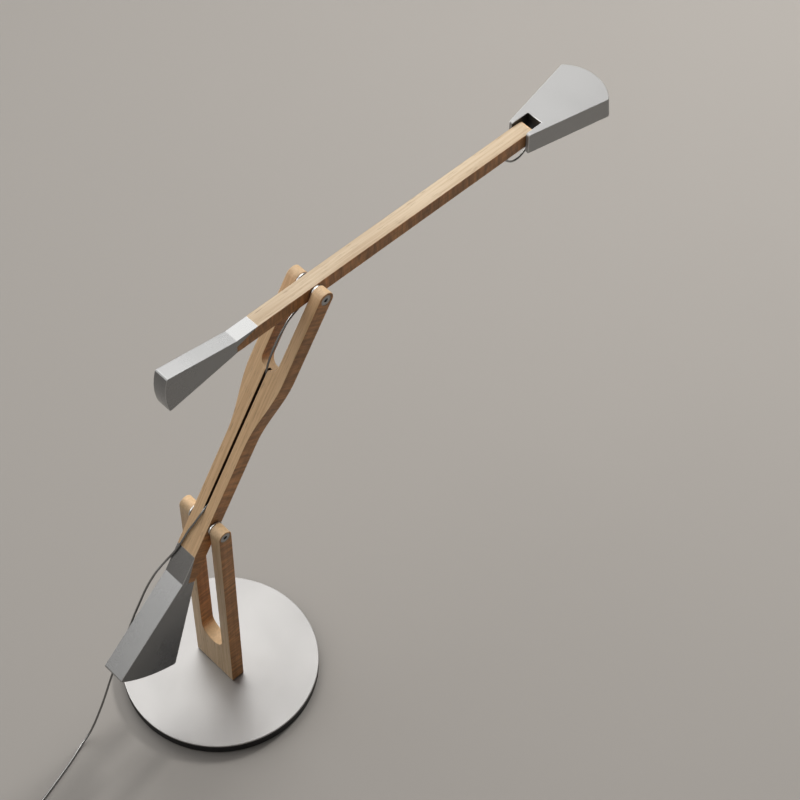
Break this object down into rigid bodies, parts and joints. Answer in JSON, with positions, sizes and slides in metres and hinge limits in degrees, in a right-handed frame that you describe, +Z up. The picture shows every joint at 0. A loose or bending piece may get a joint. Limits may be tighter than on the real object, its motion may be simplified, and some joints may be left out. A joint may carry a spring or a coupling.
{
  "type": "table lamp",
  "caption": "Table lamp with balanced wooden arms: a weighted round base carries a wooden fork, arms with metal counterweights, and a tilting flat fan-shaped LED head with a push switch.",
  "frame": {"origin": "centre of the base's underside, on the table", "axes": "+Z up, +X along the arms towards the head, every pivot axis parallel to Y"},
  "size_m": [0.811, 0.2088, 0.5243],
  "materials": {
    "rubber_black": "matte",
    "cast_black": "satin",
    "satin_plate": "satin",
    "oak": "satin",
    "steel": "satin",
    "pivot_steel": "satin",
    "weight_steel": "satin",
    "bright_washer": "polished",
    "black_nylon": "matte",
    "brass": "satin",
    "cable_grey": "gloss",
    "head_aluminium": "satin",
    "spreader": "satin",
    "board_white": "matte",
    "phosphor": "gloss",
    "opal": "matte",
    "plug_black": "satin"
  },
  "bodies": {
    "base": {"base_pad": "rubber_black", "base_weight": "cast_black", "base_plate": "satin_plate", "fork_gasket": "rubber_black", "base_fork": "oak", "fork_bolts": "steel", "fork_inserts": "brass", "lower_pivot_sleeve": "pivot_steel", "lower_pivot_screw": "pivot_steel", "lower_washers": "bright_washer", "lower_slip_washers": "black_nylon", "lead": "cable_grey", "lead_coil": "cable_grey", "coil_tie": "plug_black", "plug_boot": "rubber_black", "plug_body": "plug_black", "plug_pins": "brass"},
    "lower_arm": {"lower_arm": "oak", "lower_bush": "brass", "lower_counterweight": "weight_steel", "lower_dowels": "steel", "arm_cable": "cable_grey", "elbow_pivot_sleeve": "pivot_steel", "elbow_pivot_screw": "pivot_steel", "elbow_washers": "bright_washer", "elbow_slip_washers": "black_nylon", "elbow_cable": "cable_grey"},
    "upper_arm": {"upper_arm": "oak", "elbow_bush": "brass", "upper_counterweight": "weight_steel", "upper_dowels": "steel", "upper_cable": "cable_grey", "head_bush": "brass", "head_cable": "cable_grey"},
    "head": {"head_housing": "head_aluminium", "head_pin": "steel", "head_washers": "black_nylon", "head_grommet": "rubber_black", "heat_spreader": "spreader", "led_board": "board_white", "leds": "phosphor", "board_screws": "steel", "diffuser": "opal", "switch_plate": "head_aluminium", "switch_body": "black_nylon"},
    "button": {"push_button": "black_nylon"}
  },
  "joints": [
    {"name": "lower_tilt", "type": "hinge", "parent": "base", "child": "lower_arm", "pos_m": [0, 0, 0.272], "axis": [0, 1, 0], "range_deg": [-30, 30], "deforming": ["lead"]},
    {"name": "elbow_tilt", "type": "hinge", "parent": "lower_arm", "child": "upper_arm", "pos_m": [0.14083, 0, 0.50002], "axis": [0, 1, 0], "range_deg": [-35, 60], "deforming": ["elbow_cable"]},
    {"name": "head_tilt", "type": "hinge", "parent": "upper_arm", "child": "head", "pos_m": [0.41081, 0, 0.49672], "axis": [0, 1, 0], "range_deg": [-60, 60], "deforming": ["head_cable"]},
    {"name": "button_press", "type": "slide", "parent": "head", "child": "button", "axis": [0.0122, 0, 0.9999], "range_m": [0, 0.0012], "stiffness_N_per_m": 600, "springref_m": -0.0005}
  ]
}
